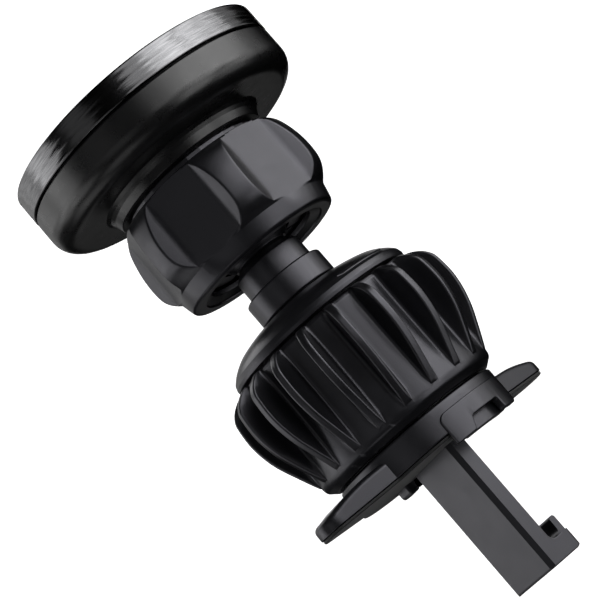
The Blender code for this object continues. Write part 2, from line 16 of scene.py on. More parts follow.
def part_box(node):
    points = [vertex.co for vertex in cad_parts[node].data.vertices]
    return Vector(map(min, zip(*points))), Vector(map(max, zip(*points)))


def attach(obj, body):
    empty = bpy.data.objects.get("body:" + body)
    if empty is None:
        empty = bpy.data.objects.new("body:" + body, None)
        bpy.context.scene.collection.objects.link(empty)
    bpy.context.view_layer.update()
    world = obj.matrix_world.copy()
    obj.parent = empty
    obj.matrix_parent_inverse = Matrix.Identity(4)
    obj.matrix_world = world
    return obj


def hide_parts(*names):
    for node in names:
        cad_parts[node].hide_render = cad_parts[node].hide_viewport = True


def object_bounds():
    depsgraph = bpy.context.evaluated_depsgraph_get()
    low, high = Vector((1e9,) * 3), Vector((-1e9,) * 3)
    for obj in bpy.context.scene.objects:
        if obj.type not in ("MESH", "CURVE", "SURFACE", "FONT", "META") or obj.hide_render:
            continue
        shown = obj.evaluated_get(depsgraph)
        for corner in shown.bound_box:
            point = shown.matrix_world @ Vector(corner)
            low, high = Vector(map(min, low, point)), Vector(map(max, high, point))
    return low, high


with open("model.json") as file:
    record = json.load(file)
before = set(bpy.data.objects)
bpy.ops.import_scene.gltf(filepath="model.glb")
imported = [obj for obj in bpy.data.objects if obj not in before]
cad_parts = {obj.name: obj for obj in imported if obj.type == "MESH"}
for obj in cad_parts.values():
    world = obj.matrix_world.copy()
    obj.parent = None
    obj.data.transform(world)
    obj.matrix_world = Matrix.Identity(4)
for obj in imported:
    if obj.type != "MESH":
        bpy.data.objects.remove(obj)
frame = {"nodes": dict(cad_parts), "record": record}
CAD_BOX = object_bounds()

MM = 0.001
TO_ROW = Matrix(((-MM, 0, 0, 0), (0, 0, -MM, 0), (0, -MM, 0, 0), (0, 0, 0, 1)))
SIDES = 192  # sides of the turned pieces
BODY_OF = {n: b for b, nodes in frame["record"]["behaviour"]["bodies"].items() for n in nodes}


class Span:
    """A CAD node's box in the part's own frame."""

    def __init__(self, node):
        low, high = (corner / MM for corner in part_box(node))
        self.x = (-high.x, -low.x)
        self.y = (-high.z, -low.z)
        self.s = (-high.y, -low.y)
        self.r = max(abs(value) for value in self.x + self.y)


# ---------------------------------------------------------------- outlines


def rounded(corners, closed=True, steps=5):
    """A line through corners (a, b, fillet), with each fillet turned into an arc."""
    made = []
    for i, (a, b, *fillet) in enumerate(corners):
        here = Vector((a, b))
        if not fillet or not fillet[0] or (not closed and i in (0, len(corners) - 1)):
            made.append((a, b))
            continue
        before = Vector(corners[i - 1][:2]) - here
        after = Vector(corners[(i + 1) % len(corners)][:2]) - here
        half = before.angle(after) / 2
        reach = min(fillet[0] / math.tan(half), 0.48 * before.length, 0.48 * after.length)
        radius = reach * math.tan(half)
        centre = here + (before.normalized() + after.normalized()).normalized() * radius / math.sin(half)
        first = here + before.normalized() * reach - centre
        last = here + after.normalized() * reach - centre
        start = math.atan2(first.y, first.x)
        turn = (math.atan2(last.y, last.x) - start + math.pi) % (2 * math.pi) - math.pi
        for k in range(steps + 1):
            angle = start + turn * k / steps
            made.append((centre.x + radius * math.cos(angle), centre.y + radius * math.sin(angle)))
    return made


def spline(points, steps=6):
    """A smooth line through the points."""
    p = np.array(points, float)
    p = np.vstack([2 * p[0] - p[1], p, 2 * p[-1] - p[-2]])
    t = np.linspace(0, 1, steps, endpoint=False)[:, None]
    made = [
        0.5 * (2 * b + (c - a) * t + (2 * a - 5 * b + 4 * c - d) * t**2 + (3 * b - a - 3 * c + d) * t**3)
        for a, b, c, d in zip(p, p[1:], p[2:], p[3:])
    ]
    return np.vstack([*made, p[-2:-1]])


def bend(start, corner, end, steps):
    """Points on a soft corner from start to end."""
    t = np.linspace(0, 1, steps)[:, None]
    return (1 - t) ** 2 * np.array(start) + 2 * t * (1 - t) * np.array(corner) + t**2 * np.array(end)


def arc(centre, radius, start, end, steps):
    turns = np.radians(np.linspace(start, end, steps + 1))
    return [(centre[0] + radius * math.cos(t), centre[1] + radius * math.sin(t)) for t in turns]


# ---------------------------------------------------------------- meshes


def weld(shape, distance=1e-4):
    bmesh.ops.remove_doubles(shape, verts=shape.verts, dist=distance)
    bmesh.ops.dissolve_degenerate(shape, edges=shape.edges, dist=distance)
    bmesh.ops.recalc_face_normals(shape, faces=shape.faces)


def mesh_from(name, points, faces):
    mesh = bpy.data.meshes.new(name)
    mesh.from_pydata([tuple(p) for p in points], [], faces)
    shape = bmesh.new()
    shape.from_mesh(mesh)
    weld(shape)
    shape.to_mesh(mesh)
    shape.free()
    return mesh


def grid_mesh(name, rows, ring=True):
    """Closed rows of points joined in turn. A ring also joins the last row to the first."""
    rows = np.array(rows, float)
    count, around = rows.shape[:2]
    index = np.arange(count * around).reshape(count, around)
    aside = np.roll(index, -1, axis=1)
    below = np.roll(np.arange(count), -1) if ring else np.arange(1, count)
    above = np.arange(len(below))
    quads = np.stack([index[above], index[below], aside[below], aside[above]], axis=-1).reshape(-1, 4)
    return mesh_from(name, rows.reshape(-1, 3), quads.tolist())


def turned(name, outline, sides=SIDES, ring=True):
    """An outline of (radius, s) points turned round the axis."""
    turns = np.arange(sides) * 2 * math.pi / sides
    circle = np.stack([np.cos(turns), np.sin(turns)], axis=-1)
    rows = [np.column_stack([circle * r, np.full(sides, s)]) for r, s in outline]
    return grid_mesh(name, rows, ring)


def prism(name, outline, span, edges, steps=4):
    """An outline drawn out along a span, with its two end edges rounded by the sizes in edges."""
    line = np.array(outline, float)
    if np.sum(line[:, 0] * np.roll(line[:, 1], -1) - np.roll(line[:, 0], -1) * line[:, 1]) < 0:
        line = line[::-1]
    before, after = line - np.roll(line, 1, axis=0), np.roll(line, -1, axis=0) - line
    before /= np.linalg.norm(before, axis=1)[:, None]
    after /= np.linalg.norm(after, axis=1)[:, None]
    out = np.stack([before[:, 1] + after[:, 1], -before[:, 0] - after[:, 0]], axis=-1)
    out *= 2 / np.sum(out * out, axis=1)[:, None]
    loops = []
    for depth, edge, way in ((span[0], edges[0], 1), (span[1], edges[1], -1)):
        ring = []
        for k in range(steps + 1 if edge else 1):
            angle = math.pi / 2 * (k / steps if edge else 1)
            ring.append((depth + way * edge * (1 - math.cos(angle)), edge * (1 - math.sin(angle))))
        loops += ring if way > 0 else ring[::-1]
    rows = [np.column_stack([line - out * inset, np.full(len(line), depth)]) for depth, inset in loops]
    points = np.vstack(rows)
    count, around = len(rows), len(line)
    index = np.arange(count * around).reshape(count, around)
    aside = np.roll(index, -1, axis=1)
    faces = np.stack([index[:-1], aside[:-1], aside[1:], index[1:]], axis=-1).reshape(-1, 4).tolist()
    return mesh_from(name, points, [*faces, index[0][::-1].tolist(), index[-1].tolist()])


def block(name, low, high):
    (a, b, c), (d, e, f) = low, high
    return prism(name, [(a, b), (d, b), (d, e), (a, e)], (c, f), (0, 0))


def along_x(mesh):
    """Turns a prism drawn in (y, s) and along x into the part's own axes."""
    mesh.transform(Matrix(((0, 0, 1, 0), (1, 0, 0, 0), (0, 1, 0, 0), (0, 0, 0, 1))))
    return mesh


def joined(name, base, steps, bevel=0.0):
    """The base mesh after Booleans (operation, mesh), with an optional small bevel on its sharp edges."""
    item = bpy.data.objects.new(name, base)
    bpy.context.scene.collection.objects.link(item)
    tools = []
    for operation, mesh in steps:
        tool = bpy.data.objects.new("tool", mesh)
        bpy.context.scene.collection.objects.link(tool)
        tools.append(tool)
        boolean = item.modifiers.new("join", "BOOLEAN")
        boolean.operation = operation
        boolean.solver = "EXACT"
        boolean.object = tool
    if bevel:
        weld_first = item.modifiers.new("weld", "WELD")
        weld_first.merge_threshold = 0.01
        small = item.modifiers.new("edges", "BEVEL")
        small.width = bevel
        small.segments = 2
        small.limit_method = "ANGLE"
        small.angle_limit = math.radians(42)
        small.miter_outer = "MITER_ARC"
    graph = bpy.context.evaluated_depsgraph_get()
    mesh = bpy.data.meshes.new_from_object(item.evaluated_get(graph))
    for thing in [item, *tools]:
        bpy.data.objects.remove(thing)
    shape = bmesh.new()
    shape.from_mesh(mesh)
    weld(shape)
    shape.to_mesh(mesh)
    shape.free()
    return mesh


def piece(name, node, mesh, material, sharp=38):
    """Puts a fine mesh in place of its CAD node."""
    mesh.name = name
    mesh.transform(TO_ROW)
    mesh.materials.clear()
    mesh.materials.append(material)
    mesh.shade_smooth()
    mesh.set_sharp_from_angle(angle=math.radians(sharp))
    item = bpy.data.objects.new(name, mesh)
    bpy.context.scene.collection.objects.link(item)
    normals = item.modifiers.new("normals", "WEIGHTED_NORMAL")
    normals.keep_sharp = True
    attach(item, BODY_OF[node])
    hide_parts(node)
    return item


# ---------------------------------------------------------------- materials


class Nodes:
    """A material's node tree, with short calls to add to it."""

    def __init__(self, name):
        self.material = bpy.data.materials.new(name)
        self.material.use_nodes = True
        self.tree = self.material.node_tree
        self.shader = self.tree.nodes["Principled BSDF"]

    def add(self, kind, inputs=None, **settings):
        node = self.tree.nodes.new(kind)
        for key, value in settings.items():
            setattr(node, key, value)
        for key, value in (inputs or {}).items():
            self.put(node.inputs[key], value)
        return node

    def put(self, socket, value):
        if isinstance(value, bpy.types.NodeSocket):
            self.tree.links.new(value, socket)
        else:
            socket.default_value = value

    def set(self, **values):
        for key, value in values.items():
            self.put(self.shader.inputs[key.replace("_", " ")], value)

    def noise(self, scale, detail=3.0, stretch=(1, 1, 1), roughness=0.55):
        place = self.add("ShaderNodeTexCoord").outputs["Object"]
        moved = self.add("ShaderNodeMapping", {"Vector": place, "Scale": stretch}).outputs["Vector"]
        made = self.add("ShaderNodeTexNoise", {"Vector": moved, "Scale": scale, "Detail": detail, "Roughness": roughness})
        return made.outputs["Fac"]

    def between(self, value, low, high, source=(0.3, 0.7)):
        inputs = {"Value": value, "From Min": source[0], "From Max": source[1], "To Min": low, "To Max": high}
        return self.add("ShaderNodeMapRange", inputs).outputs["Result"]

    def mix(self, share, first, second):
        made = self.add("ShaderNodeMix", data_type="RGBA")
        self.put(made.inputs[0], share)
        self.put(made.inputs[6], (*first, 1) if isinstance(first, tuple) else first)
        self.put(made.inputs[7], (*second, 1) if isinstance(second, tuple) else second)
        return made.outputs[2]

    def bump(self, height, distance, strength=1.0, normal=None):
        inputs = {"Height": height, "Distance": distance, "Strength": strength}
        if normal:
            inputs["Normal"] = normal
        return self.add("ShaderNodeBump", inputs).outputs["Normal"]


def moulded(name, dark, light, roughness, grain=0.000006, sheen=0.0, wear_and_highlight_colour=None):
    """Moulded plastic or rubber: fine spark grain, faint flow shading and an uneven gloss.

    With an edge colour, pointed outer edges are lighter and a little glossier: partly rubbed wear, partly a painted
    highlight that stands in for light catching the crests.
    """
    n = Nodes(name)
    cloud = n.noise(90, 2)
    grains = n.noise(5200, 2)
    colour = n.mix(n.between(cloud, 0, 1), dark, light)
    gloss = n.between(n.noise(420, 3), roughness - 0.035, roughness + 0.035)
    if wear_and_highlight_colour:
        edge = n.between(n.add("ShaderNodeNewGeometry").outputs["Pointiness"], 0, 1, (0.515, 0.58))
        # painted highlight and wear: pointed edges get a lighter colour, partly wear and partly standing in for light
        # catching the crests
        painted_highlight_and_wear = n.add("ShaderNodeMath", {0: edge, 1: n.between(n.noise(300, 3), 0.6, 1)}, operation="MULTIPLY").outputs[0]
        colour = n.mix(painted_highlight_and_wear, colour, wear_and_highlight_colour)
        gloss = n.add("ShaderNodeMath", {0: painted_highlight_and_wear, 1: -0.06, 2: gloss}, operation="MULTIPLY_ADD").outputs[0]
    n.set(Base_Color=colour, Roughness=gloss, Normal=n.bump(grains, grain))
    if sheen:
        n.set(Sheen_Weight=sheen)
    return n


def metal(name, dark, light, roughness, stretch=(1, 1, 1), scale=900, depth=0.000004):
    """Plated or bare metal with fine marks, drawn out where the tool ran."""
    n = Nodes(name)
    marks = n.noise(scale, 4, stretch)
    stain = n.noise(260, 3)
    n.set(
        Base_Color=n.mix(n.between(stain, 0, 1), dark, light), Metallic=1.0,
        Roughness=n.between(marks, roughness - 0.07, roughness + 0.07), Normal=n.bump(marks, depth),
    )
    return n


def brushed_ring(name):
    """Black plated steel brushed round its rim: each fine line tilts the reflection a little along the rim."""
    n = Nodes(name)
    lines = n.noise(1, 3, (330, 9500, 330), 0.62)
    broad = n.noise(1, 2, (120, 2600, 120))
    surface = n.add("ShaderNodeNewGeometry").outputs["Normal"]
    along = n.add("ShaderNodeVectorMath", {0: (0, 1, 0), 1: surface}, operation="CROSS_PRODUCT").outputs[0]
    tilt = n.add("ShaderNodeMath", {0: n.between(lines, -0.045, 0.045, (0.25, 0.75)), 1: n.between(broad, -0.05, 0.05)})
    shifted = n.add("ShaderNodeVectorMath", {0: along, 3: tilt.outputs[0]}, operation="SCALE").outputs[0]
    total = n.add("ShaderNodeVectorMath", {0: surface, 1: shifted}, operation="ADD").outputs[0]
    tangent = n.add("ShaderNodeTangent", direction_type="RADIAL", axis="Y").outputs["Tangent"]
    n.set(
        Base_Color=n.mix(n.between(lines, 0, 1), (0.10, 0.10, 0.103), (0.15, 0.15, 0.154)), Metallic=1.0,
        Roughness=n.between(broad, 0.13, 0.19), Tangent=tangent, Normal=n.bump(lines, 0.0000025, 1.0, total),
    )
    n.shader.inputs["Anisotropic"].default_value = 0.55
    return n


PLASTIC = moulded("black_plastic_fine", (0.0130, 0.0130, 0.0150), (0.0160, 0.0160, 0.0184), 0.31).material
PLASTIC.node_tree.nodes["Principled BSDF"].inputs["Specular Tint"].default_value = (0.92, 0.91, 1.0, 1.0)
# The knob's lighter edge colour is partly wear and partly a painted highlight on the fin crests.
KNOB = moulded(
    "black_knob_fine", (0.0130, 0.0130, 0.0150), (0.0160, 0.0160, 0.0184), 0.31, wear_and_highlight_colour=(0.085, 0.085, 0.093)
).material
KNOB.node_tree.nodes["Principled BSDF"].inputs["Specular Tint"].default_value = (0.92, 0.91, 1.0, 1.0)
SHELL = moulded("black_shell_satin", (0.0085, 0.0085, 0.0090), (0.0115, 0.0115, 0.0121), 0.29, 0.000004).material
RUBBER = moulded("black_rubber_fine", (0.010, 0.010, 0.0105), (0.014, 0.014, 0.0145), 0.74, 0.000016, 0.12).material
NYLON = moulded("white_nylon_fine", (0.66, 0.65, 0.60), (0.74, 0.73, 0.69), 0.48, 0.000006).material
RING = brushed_ring("black_brushed_ring").material
ZINC = metal("zinc_steel_fine", (0.50, 0.51, 0.53), (0.66, 0.66, 0.66), 0.34).material
BRASS = metal("brass_fine", (0.62, 0.43, 0.18), (0.76, 0.56, 0.27), 0.28, (1, 6, 1)).material
NICKEL = metal("nickel_fine", (0.56, 0.54, 0.50), (0.68, 0.66, 0.62), 0.2).material
CAD_LOOKS = {
    "black_plastic": PLASTIC, "black_brushed_steel": RING, "black_rubber": RUBBER, "white_nylon": NYLON,
    "zinc_steel": ZINC, "brass": BRASS, "nickel_magnet": NICKEL,
}

# ---------------------------------------------------------------- head


def build_head():
    shell, ring, pad = Span("head_shell"), Span("face_ring"), Span("face_pad")
    step = ring.s[0] - 0.3
    back = step - 5.85
    outline = [
        (ring.r - 1.5, shell.s[1], 0.15), (ring.r - 1.5, step), (shell.r, step, 0.22), (shell.r, back, 4.3),
        (12.95, back, 0.3), (12.5, back - 0.45, 0.25), (12.2, 50.3, 0.3), (11.8, shell.s[0], 0.2),
        (9.9, shell.s[0], 0.15), (9.9, 53.0), (16.8, 53.0), (16.8, 56.9), (18.2, 56.9), (18.2, shell.s[1], 0.1),
    ]
    piece("head_shell_fine", "head_shell", turned("s", rounded(outline, steps=8)), SHELL)
    low, high = ring.s
    outline = [(ring.r, high, 0.28), (ring.r, low, 0.22), (ring.r - 1.2, low, 0.1), (ring.r - 1.2, high, 0.3)]
    piece("face_ring_fine", "face_ring", turned("r", rounded(outline)), RING)
    low, high = pad.s
    outline = [
        (0, high), (pad.r - 1.9, high, 0.1), (pad.r - 1.75, high - 0.14, 0.06), (pad.r - 1.45, high - 0.14, 0.06),
        (pad.r - 1.3, high, 0.1), (pad.r, high, 0.4), (pad.r, low, 0.1), (0, low),
    ]
    piece("face_pad_fine", "face_pad", turned("p", rounded(outline, False), ring=False), RUBBER)


# ---------------------------------------------------------------- locking nut

NUT_FLOOR = 12.15
NUT_HALF = 3.85
NUT_WALL = math.radians(61)
NUT_AZIMUTH = 6.0
NUT_SIDE = [
    (12.1, 48.05), (12.5, 47.85), (12.9, 47.5), (13.4, 46.8), (13.85, 45.6), (14.3, 43.8), (14.5, 42.2), (14.52, 40.6),
    (14.35, 39.3), (13.95, 38.35), (13.3, 37.5), (12.75, 37.0),
]


def nut_section(radius, s):
    """The nut's outline at one height: a circle with six channels that have flat floors and sloped walls."""
    corner = np.array([NUT_FLOOR, NUT_HALF])
    wall = np.array([math.cos(NUT_WALL), math.sin(NUT_WALL)])
    along = corner @ wall
    length = max(math.sqrt(max(along**2 - corner @ corner + radius**2, 0)) - along, 0.35)
    soft, fine = min(0.7, 0.45 * length), min(0.22, 0.45 * length)
    top = corner + length * wall
    turn = math.atan2(top[1], top[0]) + fine / radius
    floor = [(NUT_FLOOR, k * (NUT_HALF - soft) / 4) for k in range(4)]
    after = radius * np.array([math.cos(turn), math.sin(turn)])
    rest = np.linspace(turn, math.pi / 6, 8)[1:]
    half = np.vstack([
        floor, bend(corner - (0, soft), corner, corner + soft * wall, 6),
        bend(top - fine * wall, top, after, 5), radius * np.stack([np.cos(rest), np.sin(rest)], axis=-1),
    ])
    half *= np.minimum(1, radius / np.hypot(*half.T))[:, None]
    sector = np.vstack([half[:0:-1] * (1, -1), half[:-1]])
    made = []
    for k in range(6):
        a = math.radians(NUT_AZIMUTH + 60 * k)
        turned_sector = sector @ np.array([[math.cos(a), math.sin(a)], [-math.sin(a), math.cos(a)]])
        made.append(turned_sector)
    flat = np.vstack(made)
    return np.column_stack([flat, np.full(len(flat), s)])


def build_nut():
    span = Span("locking_nut")
    low, high = span.s
    lip = rounded([
        (12.75, 37.0), (12.4, 36.75, 0.12), (12.15, 35.6), (11.85, low + 0.2, 0.5), (11.2, low, 0.25), (9.9, low, 0.08),
        (9.8, low + 0.25, 0.1), (8.45, low + 0.8, 0.12), (8.4, 35.6), (10.0, 37.2), (10.0, 47.4), (11.0, 47.4),
        (11.0, high, 0.1), (12.1, high + 0.02),
    ], closed=False)
    rows = [nut_section(r, s) for r, s in [*spline(NUT_SIDE, 8), *lip[1:-1]]]
    piece("locking_nut_fine", "locking_nut", grid_mesh("n", rows), PLASTIC, 30)


# ---------------------------------------------------------------- ball stem, collar and cap


def build_stem():
    span, collar = Span("ball_stem"), Span("stem_collar")
    ball = span.s[1] - 6.5
    neck = 5.06
    outline = [
        *arc((0, ball), 6.5, 90, -50, 24), (3.8, 35.0, 0.5), (3.9, 34.7, 0.4), (neck, 33.6, 0.35), (neck, 22.4, 0.2),
        (span.r, 22.4, 0.15), (span.r, span.s[0], 0.15), (3.4, span.s[0]), (3.4, 29.4), (0, 29.4),
    ]
    stem = turned("st", rounded(outline, False), ring=False)
    holes = []
    for k in range(3):
        a = math.radians(11 + 120 * k)
        hole = turned("h", [(0, 23.2), (1.2, 23.2), (1.2, 20), (0, 20)], 24, ring=False)
        hole.transform(Matrix.Translation((9.6 * math.cos(a), 9.6 * math.sin(a), 0)))
        holes.append(("DIFFERENCE", hole))
    piece("ball_stem_fine", "ball_stem", joined("st", stem, holes), PLASTIC)
    low, high = collar.s
    outline = [(5.4, low), (collar.r, low, 0.25), (collar.r, high, 0.4), (5.4, high, 0.1)]
    piece("stem_collar_fine", "stem_collar", turned("c", rounded(outline)), PLASTIC)


CAP_TOP = [(6.15, 26.6), (8.7, 26.2), (11.1, 25.5), (12.3, 24.9), (13.2, 24.25), (13.75, 23.72)]
CAP_RIM = [(13.98, 23.45, 0.12), (14.16, 22.8, 0.12)]
MARK_R = 13.35
MARK_ANGLES = (-14.0, 26.0)


def cap_height(radius):
    line = spline(CAP_TOP, 6)
    return float(np.interp(radius, line[:, 0], line[:, 1]))


def cap_mark():
    """A plain raised arc near the rim, that shows where the knob's travel lies."""
    rows = []
    for angle in np.radians(np.linspace(*MARK_ANGLES, 60)):
        share = (math.degrees(angle) - MARK_ANGLES[0]) / (MARK_ANGLES[1] - MARK_ANGLES[0])
        half = 0.2 * min(1.0, 0.15 + 9 * share, 0.15 + 9 * (1 - share))
        section = ((-1, -0.15), (-1, 0.1), (-0.5, 0.16), (0.5, 0.16), (1, 0.1), (1, -0.15))
        radii = [(MARK_R + half * way, height) for way, height in section]
        rows.append([(r * math.cos(angle), r * math.sin(angle), cap_height(r) + h) for r, h in radii])
    points = np.array(rows)
    count, around = points.shape[:2]
    index = np.arange(count * around).reshape(count, around)
    aside = np.roll(index, -1, axis=1)
    faces = np.stack([index[:-1], index[1:], aside[1:], aside[:-1]], axis=-1).reshape(-1, 4).tolist()
    return mesh_from("mark", points.reshape(-1, 3), [*faces, index[0].tolist(), index[-1][::-1].tolist()])


def build_cap():
    span = Span("knob_cap")
    low = span.s[0]
    outline = [(5.4, span.s[1] - 0.05), (5.55, span.s[1])] + [tuple(p) for p in spline(CAP_TOP, 6)] + CAP_RIM
    outline += [(14.1, low + 0.08), (14.0, low), (12.1, low), (12.1, 23.2), (11.7, 24.1), (8.5, 24.9), (5.4, 25.2)]
    cap = turned("cap", rounded(outline, steps=3))
    piece("knob_cap_fine", "knob_cap", joined("cap", cap, [("UNION", cap_mark())]), PLASTIC, 30)


# ---------------------------------------------------------------- knob

FINS = 20
FIN_AZIMUTH = 5.5
FIN_HALF = 0.58
FIN_DRAFT = 0.03
FIN_EDGE = 0.27
FIN_ROOT = 0.45
FIN_CREST = [
    (13.6, 22.0), (14.75, 21.86), (16.1, 21.06), (16.95, 20.1), (17.36, 18.9), (17.5, 15.7), (16.85, 12.3),
    (15.5, 9.0), (14.3, 6.45), (14.0, 6.05),
]
KNOB_CORE = [(13.6, 22.0), (13.85, 21.8), (14.0, 21.4), (14.0, 6.05)]
KNOB_SKIRT = [(13.98, 5.8), (13.9, 5.4), (13.75, 5.07), (13.4, 4.78), (13.0, 4.47), (12.75, 4.27), (12.55, 4.2)]


def fin_section(core, crest, s):
    """The knob's outline at one height: a fin and the channel beside it, repeated round the axis."""
    height = max(crest - core, 0.0)
    size = min(1.0, height / 0.9)
    edge, root = FIN_EDGE * size + 0.01, FIN_ROOT * size + 0.01
    foot = FIN_HALF + FIN_DRAFT * height
    quarter = np.linspace(0, math.pi / 2, 5)
    top = np.stack([crest - edge + edge * np.cos(quarter), FIN_HALF - edge + edge * np.sin(quarter)], axis=-1)
    fillet = np.stack([core + root - root * np.sin(quarter), foot + root - root * np.cos(quarter)], axis=-1)
    side = [(core + height * 0.5, (FIN_HALF + foot) / 2)]
    half = np.vstack([[(crest, 0), (crest, 0.2)], top, side, fillet])
    half[:, 0] += np.sqrt(core**2 - half[:, 1] ** 2) - core
    last = math.atan2(half[-1, 1], half[-1, 0])
    rest = np.linspace(last, math.pi / FINS, 4)[1:]
    half = np.vstack([half, core * np.stack([np.cos(rest), np.sin(rest)], axis=-1)])
    sector = np.vstack([half[:0:-1] * (1, -1), half[:-1]])
    made = []
    for k in range(FINS):
        a = math.radians(FIN_AZIMUTH) + 2 * math.pi * k / FINS
        made.append(sector @ np.array([[math.cos(a), math.sin(a)], [-math.sin(a), math.cos(a)]]))
    flat = np.vstack(made)
    return np.column_stack([flat, np.full(len(flat), s)])


def build_knob():
    crest, core = spline(FIN_CREST, 10), np.array(KNOB_CORE)
    crest = crest[np.argsort(crest[:, 1])]
    core = core[np.argsort(core[:, 1])]
    heights = np.concatenate([
        22.0 - 1.1 * np.linspace(0, 1, 14) ** 1.6, np.linspace(20.6, 8.4, 30), np.linspace(8.0, 6.05, 12),
    ])
    rows = [
        fin_section(np.interp(s, core[:, 1], core[:, 0]), np.interp(s, crest[:, 1], crest[:, 0]), s) for s in heights
    ]
    even = np.arange(rows[0].shape[0]) * 2 * math.pi / rows[0].shape[0]
    first = math.atan2(rows[-1][0][1], rows[-1][0][0])
    bunched = np.unwrap(np.arctan2(rows[-1][:, 1], rows[-1][:, 0])) - first
    skirt = spline(KNOB_SKIRT, 2)
    inner = rounded([
        (12.4, 4.2), (11.4, 4.2), (11.4, 5.2), (8.2, 5.2), (8.2, 7.3), (9.9, 7.3), (9.9, 9.8), (5.8, 9.8), (5.8, 13.4),
        (5.3, 13.4), (5.3, 18.6), (7.3, 18.6), (7.3, 20.5), (12.1, 20.5), (12.1, 22.0), (13.5, 22.0),
    ], closed=False)
    for k, (r, s) in enumerate([*skirt, *inner]):
        share = min(1.0, (k + 1) / 6)
        turns = first + bunched * (1 - share) + even * share
        rows.append(np.column_stack([r * np.cos(turns), r * np.sin(turns), np.full(len(turns), s)]))
    piece("clamp_knob_fine", "clamp_knob", grid_mesh("k", rows), KNOB, 40)


# ---------------------------------------------------------------- base, grip plate and jaws

JAW_ANGLES = (-22.0, 36.5)


JAW_R = (11.9, 12.95)
JAW_MIDDLE = sum(JAW_R) / 2


def jaw_outline(margin=0.0):
    """The front jaw laid flat, as (distance round its middle radius, s). A margin gives the room round it."""
    bottom, top = Span("front_jaw").s
    start, end = (math.radians(angle) * JAW_MIDDLE for angle in JAW_ANGLES)
    start -= 0.4
    if margin:
        return rounded([
            (start - margin, top + margin, 1.35), (end + margin, top + margin, 1.35), (end + margin, bottom - 1),
            (start - margin, bottom - 1),
        ], steps=8)
    return rounded([
        (start, top, 1.15), (end, top, 1.15), (end, bottom, 0.75), (4.15, bottom, 0.4), (4.05, 0.0, 0.45),
        (-1.25, 0.0, 0.5), (-2.0, bottom, 0.3), (start, bottom, 0.35),
    ], steps=8)


def bent(mesh):
    """Bends a mesh drawn as (distance, s, radius) round the axis, in short strips."""
    shape = bmesh.new()
    shape.from_mesh(mesh)
    for cut in np.arange(-5.6, 9.0, 0.25):
        everything = [*shape.verts, *shape.edges, *shape.faces]
        bmesh.ops.bisect_plane(shape, geom=everything, dist=1e-5, plane_co=(cut, 0, 0), plane_no=(1, 0, 0))
    for point in shape.verts:
        turn, s, radius = point.co.x / JAW_MIDDLE, point.co.y, point.co.z
        point.co = (radius * math.cos(turn), radius * math.sin(turn), s)
    bmesh.ops.recalc_face_normals(shape, faces=shape.faces)
    shape.to_mesh(mesh)
    shape.free()
    return mesh


def sector(radii, angles, margin=0.0, steps=24):
    inner, outer = radii[0] - margin, radii[1] + margin
    spread = math.degrees(margin / radii[1])
    start, end = angles[0] - spread, angles[1] + spread
    return arc((0, 0), outer, start, end, steps) + arc((0, 0), inner, end, start, steps)


WING_TIP_R = 2.9
WING_ROOT = (5.75, 9.0)
WING_LEAN = {1: 0.8, -1: 0.0}
WING_TOP = [(9.0, 2.9), (13.5, 2.9), (15.5, 2.8), (17.5, 2.55), (19.0, 2.25), (20.3, 2.02), (22.5, 1.85)]


def wing_line(tip, inset=0.0, lean=0.0):
    """The outline of the wing on the +y side, from its root round the tip and back. lean moves its tip along x."""
    sides = []
    for way in (1, -1):
        root = [np.array([WING_ROOT[0] - inset, y]) for y in np.linspace(WING_ROOT[1], 11.0, 4)]
        end = [np.array(q) for q in arc((way * lean, tip - WING_TIP_R), WING_TIP_R - inset, 14, 89, 18)]
        sides.append(np.vstack([*root, *[root[3] + (end[0] - root[3]) * k / 20 for k in range(1, 20)], *end]))
    return np.vstack([sides[0], sides[1][::-1] * (-1, 1)])


def grip_outline(radius, tip, inset):
    """The disc with both wings as one outline, with a soft inner corner where each flank leaves the disc."""
    root = WING_ROOT[0] - inset
    corner = (root, math.sqrt(radius**2 - root**2))
    angle = math.degrees(math.atan2(corner[1], root))
    made = []
    for side in (1, -1):
        line = wing_line(tip, inset, side * WING_LEAN[side])
        flank = line[np.hypot(*line.T) > radius + 0.9]
        half = [(*corner, 1.2), *[tuple(q) for q in flank], (-root, corner[1], 1.2)]
        half += arc((0, 0), radius, 188 - angle, 172 + angle, 40)
        made += [(side * a, side * b, *more) for a, b, *more in half]
    return rounded(made, steps=8)


def wing(name, side, tip, low, high, edges, steps=6):
    """One wing: straight flanks that run to a rounded tip, from the height low up to a table of (|y|, s)."""
    line = wing_line(tip, 0.0, WING_LEAN[side])
    along = np.gradient(line, axis=0)
    out = np.stack([along[:, 1], -along[:, 0]], axis=-1)
    out /= np.linalg.norm(out, axis=1)[:, None]
    rows = []
    for surface, edge, way in (([(0, low), (30, low)], edges[0], 1), (high, edges[1], -1)):
        loops = []
        for k in range(steps + 1):
            angle = math.pi / 2 * k / steps
            flat = line - out * edge * (1 - math.sin(angle))
            table = spline(surface)
            height = np.interp(np.abs(flat[:, 1]), table[:, 0], table[:, 1]) + way * edge * (1 - math.cos(angle))
            loops.append(np.column_stack([flat[:, 0], side * flat[:, 1], height]))
        rows += loops if way > 0 else loops[::-1]
    points = np.vstack(rows)
    count, around = len(rows), len(line)
    index = np.arange(count * around).reshape(count, around)
    aside = np.roll(index, -1, axis=1)
    faces = np.stack([index[:-1], aside[:-1], aside[1:], index[1:]], axis=-1).reshape(-1, 4).tolist()
    for ring in (index[0], index[-1]):
        faces += [[ring[k], ring[k + 1], ring[-k - 2], ring[-k - 1]] for k in range(around // 2 - 1)]
    return mesh_from(name, points, faces)


